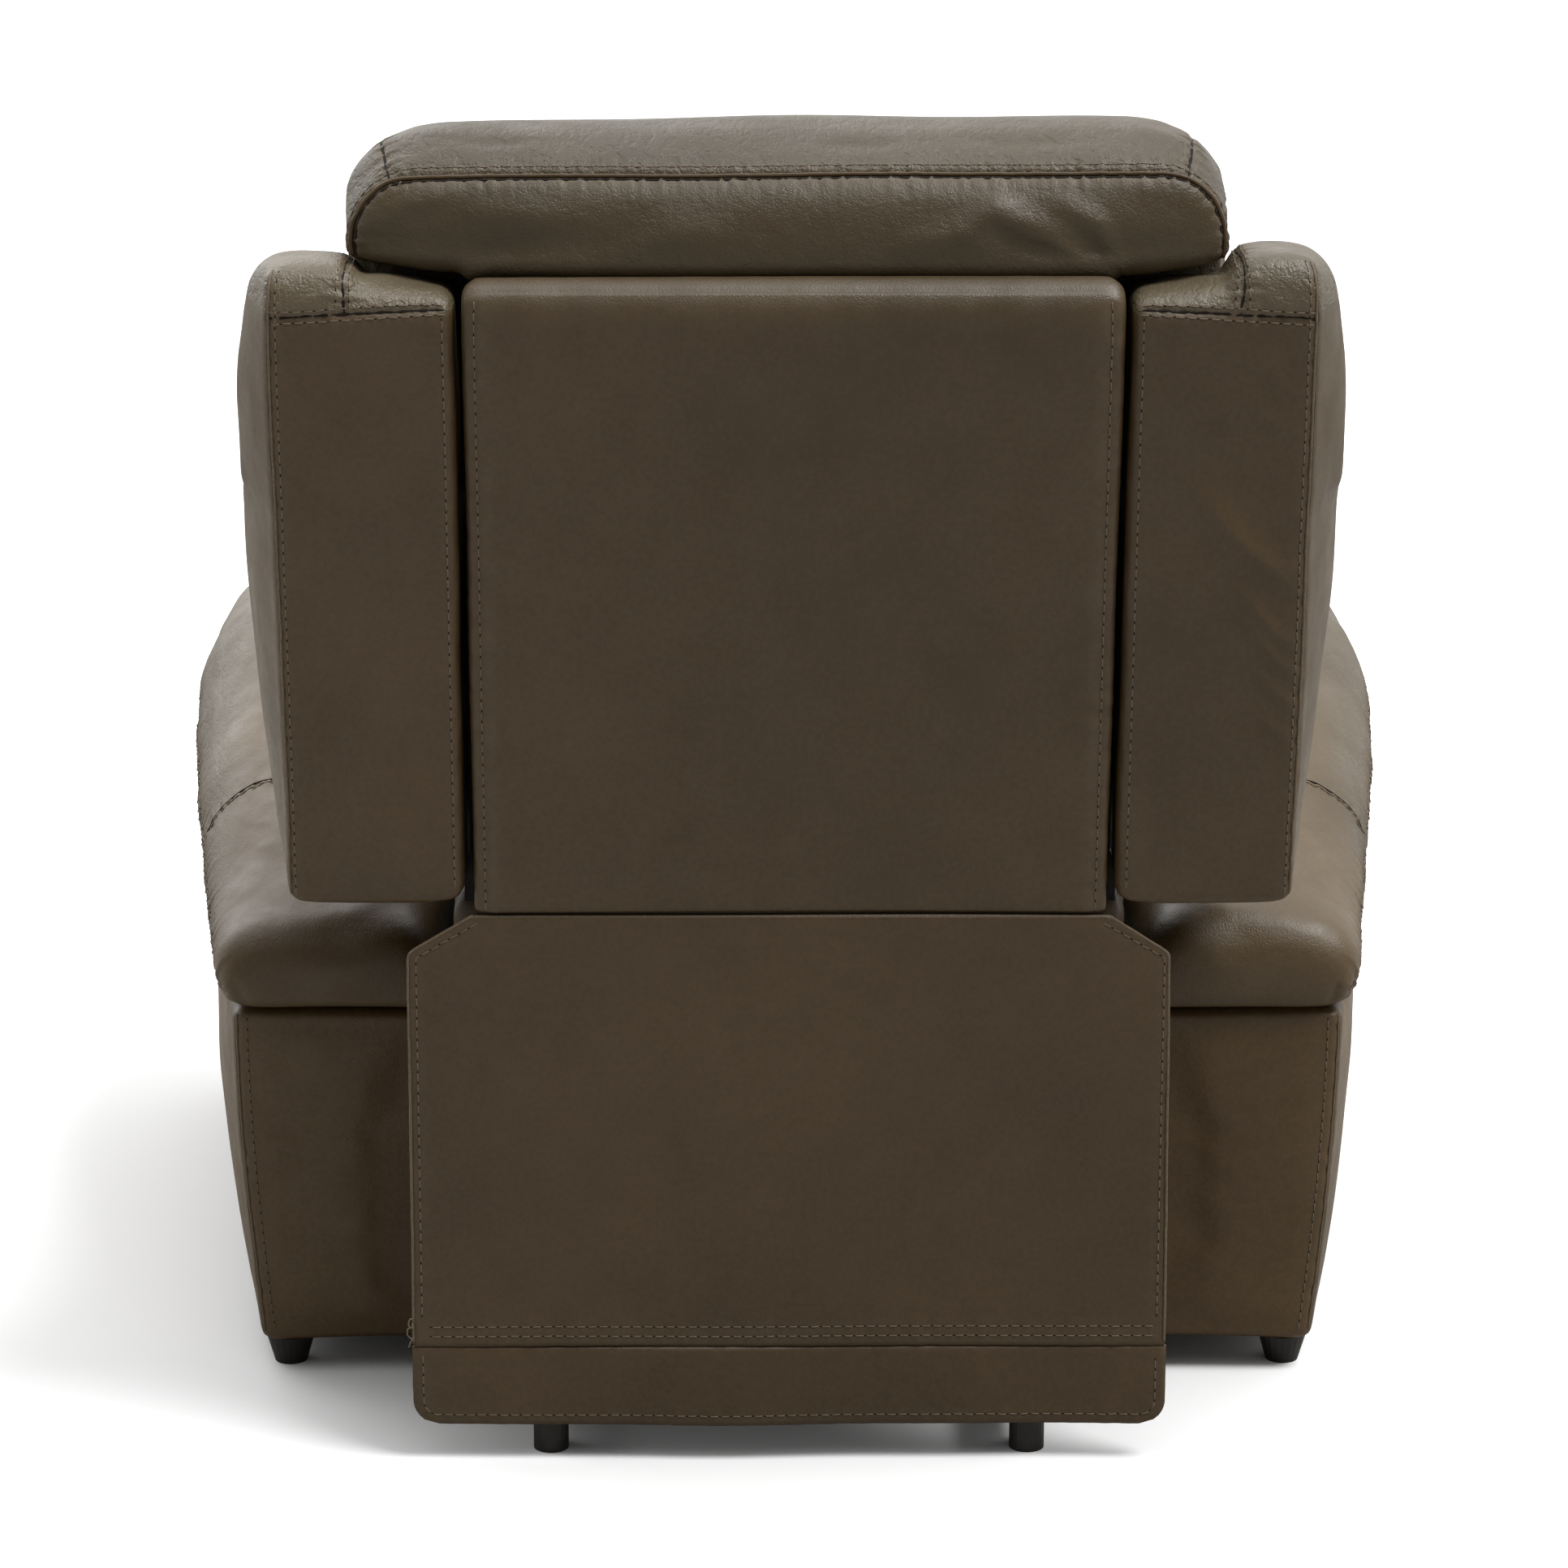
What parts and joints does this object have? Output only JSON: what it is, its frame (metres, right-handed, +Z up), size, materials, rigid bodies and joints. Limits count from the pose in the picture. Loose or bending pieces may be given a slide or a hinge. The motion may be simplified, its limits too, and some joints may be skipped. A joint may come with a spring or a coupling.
{
  "type": "recliner armchair",
  "caption": "Leather power recliner armchair with winged back, tilting headrest, lazy-tongs footrest and a hanging rear flap.",
  "frame": {"origin": "on the floor under the middle of the chair's bounding box", "axes": "+Z up, +Y to the chair's rear, -Y where the sitter faces, +X towards the sitter's left"},
  "size_m": [1.076, 1.0507, 1.062],
  "materials": {
    "leather": "satin",
    "black_plastic": "matte",
    "button_plastic": "satin",
    "dust_cloth": "matte",
    "plywood": "matte",
    "spring_steel": "satin",
    "black_steel": "satin"
  },
  "bodies": {
    "base": {"base_rail_left": "black_steel", "base_rail_right": "black_steel", "base_glide_front_left": "black_plastic", "base_glide_front_right": "black_plastic", "base_glide_rear_left": "black_plastic", "base_glide_rear_right": "black_plastic", "front_cross_tube": "black_steel", "rear_cross_tube": "black_steel", "recline_post_left": "black_steel", "recline_post_right": "black_steel", "power_inlet": "black_plastic", "arm_body_left": "leather", "arm_body_right": "leather", "arm_pad_left": "leather", "arm_pad_right": "leather", "arm_foot_front_left": "black_plastic", "arm_foot_front_right": "black_plastic", "arm_foot_rear_left": "black_plastic", "arm_foot_rear_right": "black_plastic", "dust_cover_left": "dust_cloth", "dust_cover_right": "dust_cloth", "control_panel": "black_plastic"},
    "seat": {"seat_side_left": "black_steel", "seat_side_right": "black_steel", "seat_front_rail": "black_steel", "seat_rear_rail": "black_steel", "seat_springs": "spring_steel", "seat_cushion": "leather", "actuator_motor": "black_plastic", "actuator_rail": "black_steel"},
    "actuator_nut": {"actuator_nut": "black_plastic"},
    "rear_lift": {"rear_lift_link_left": "black_steel", "rear_lift_link_right": "black_steel", "torque_tube": "black_steel"},
    "rear_cross": {"rear_cross_link_left": "black_steel", "rear_cross_link_right": "black_steel"},
    "front_lift": {"front_lift_link_left": "black_steel", "front_lift_link_right": "black_steel"},
    "front_cross": {"front_cross_link_left": "black_steel", "front_cross_link_right": "black_steel"},
    "footrest": {"footrest_bracket_left": "black_steel", "footrest_bracket_right": "black_steel", "footrest_board": "plywood", "footrest_pad": "leather"},
    "back": {"back_frame": "black_steel", "outer_back_panel": "leather", "back_cushion": "leather", "wing_left": "leather", "wing_right": "leather", "headrest_hinge_tube": "black_steel"},
    "headrest": {"headrest_cushion": "leather", "headrest_board": "plywood"},
    "rear_flap": {"rear_flap": "leather"},
    "flap_band": {"flap_band": "leather"},
    "recline_button_open": {"recline_button_open": "button_plastic"},
    "recline_button_close": {"recline_button_close": "button_plastic"},
    "headrest_button_up": {"headrest_button_up": "button_plastic"},
    "headrest_button_down": {"headrest_button_down": "button_plastic"}
  },
  "joints": [
    {"name": "back_recline", "type": "hinge", "parent": "base", "child": "back", "pos_m": [0, 0.37, 0.38], "axis": [-1, 0, 0], "range_deg": [0, 32]},
    {"name": "seat_glide", "type": "slide", "parent": "base", "child": "seat", "axis": [0, -1, 0], "range_m": [0, 0.06]},
    {"name": "footrest_extend", "type": "hinge", "parent": "seat", "child": "rear_lift", "pos_m": [0, -0.338, 0.33], "axis": [-1, 0, 0], "range_deg": [0, 60]},
    {"name": "rear_cross_pivot", "type": "hinge", "parent": "rear_lift", "child": "rear_cross", "pos_m": [0, -0.36906, 0.21409], "axis": [-1, 0, 0], "range_deg": [-120, 0]},
    {"name": "front_lift_pivot", "type": "hinge", "parent": "rear_cross", "child": "front_lift", "pos_m": [0, -0.40012, 0.33], "axis": [-1, 0, 0], "range_deg": [0, 120]},
    {"name": "front_cross_pivot", "type": "hinge", "parent": "rear_lift", "child": "front_cross", "pos_m": [0, -0.40012, 0.09818], "axis": [-1, 0, 0], "range_deg": [-120, 0]},
    {"name": "footrest_tilt", "type": "hinge", "parent": "front_cross", "child": "footrest", "pos_m": [0, -0.46223, 0.33], "axis": [-1, 0, 0], "range_deg": [0, 150]},
    {"name": "actuator_travel", "type": "slide", "parent": "seat", "child": "actuator_nut", "axis": [0, -1, 0], "range_m": [0, 0.06]},
    {"name": "headrest_tilt", "type": "hinge", "parent": "back", "child": "headrest", "pos_m": [0, 0.27, 0.797], "axis": [1, 0, 0], "range_deg": [0, 30]},
    {"name": "flap_swing", "type": "hinge", "parent": "back", "child": "rear_flap", "pos_m": [0, 0.46, 0.452], "axis": [1, 0, 0], "range_deg": [0, 32]},
    {"name": "band_fold", "type": "hinge", "parent": "rear_flap", "child": "flap_band", "pos_m": [0, 0.46, 0.096], "axis": [1, 0, 0], "range_deg": [0, 75]},
    {"name": "recline_button_open_press", "type": "slide", "parent": "base", "child": "recline_button_open", "axis": [-1, 0, 0], "range_m": [0, 0.002], "stiffness_N_per_m": 400},
    {"name": "recline_button_close_press", "type": "slide", "parent": "base", "child": "recline_button_close", "axis": [-1, 0, 0], "range_m": [0, 0.002], "stiffness_N_per_m": 400},
    {"name": "headrest_button_up_press", "type": "slide", "parent": "base", "child": "headrest_button_up", "axis": [-1, 0, 0], "range_m": [0, 0.002], "stiffness_N_per_m": 400},
    {"name": "headrest_button_down_press", "type": "slide", "parent": "base", "child": "headrest_button_down", "axis": [-1, 0, 0], "range_m": [0, 0.002], "stiffness_N_per_m": 400}
  ],
  "couplings": [
    {"joint": "seat_glide", "follows": "back_recline", "m_per_rad": 0.10742},
    {"joint": "flap_swing", "follows": "back_recline", "ratio": 1},
    {"joint": "band_fold", "follows": "back_recline", "ratio": 2.3},
    {"joint": "rear_cross_pivot", "follows": "footrest_extend", "ratio": -2},
    {"joint": "front_lift_pivot", "follows": "footrest_extend", "ratio": 2},
    {"joint": "front_cross_pivot", "follows": "footrest_extend", "ratio": -2},
    {"joint": "footrest_tilt", "follows": "footrest_extend", "ratio": 2.5},
    {"joint": "actuator_travel", "follows": "footrest_extend", "m_per_rad": 0.05729}
  ]
}
